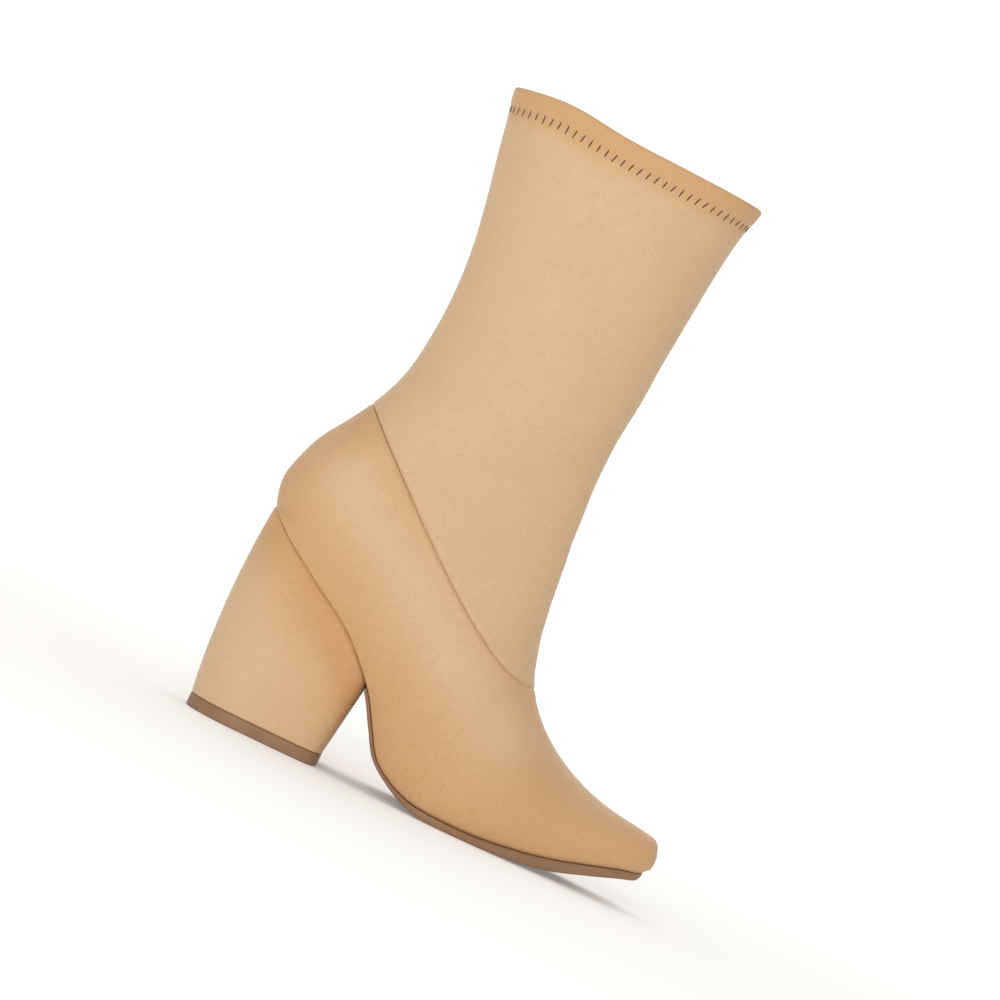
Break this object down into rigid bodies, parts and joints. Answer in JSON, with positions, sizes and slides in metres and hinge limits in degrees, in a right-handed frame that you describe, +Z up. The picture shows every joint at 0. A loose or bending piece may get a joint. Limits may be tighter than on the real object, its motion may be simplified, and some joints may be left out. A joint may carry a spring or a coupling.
{
  "type": "stretch ankle boot",
  "caption": "Pull-on ankle boot for the right foot: a close stretch shaft over a pointed, lasted foot on a high block heel, with a thin sole.",
  "frame": {"origin": "middle of the heel tip's flat underside, on the floor", "axes": "+Z up; +X level towards the toe; +Y across, towards the inner side of the foot"},
  "size_m": [0.2253, 0.0839, 0.3135],
  "materials": {
    "upper": "matte tan stretch leather, lasted smooth",
    "shaft": "matte tan stretch leather on a bonded stretch lining",
    "heel_cover": "the upper's material wrapped over a moulded block",
    "insole": "soft sock lining on fibre board",
    "sole": "matte brown moulded sole and heel tip"
  },
  "bodies": {
    "root": {"upper": "upper", "shaft": "shaft", "insole": "insole", "outsole": "sole", "heel": "heel_cover", "heel_tip": "sole"}
  },
  "joints": []
}
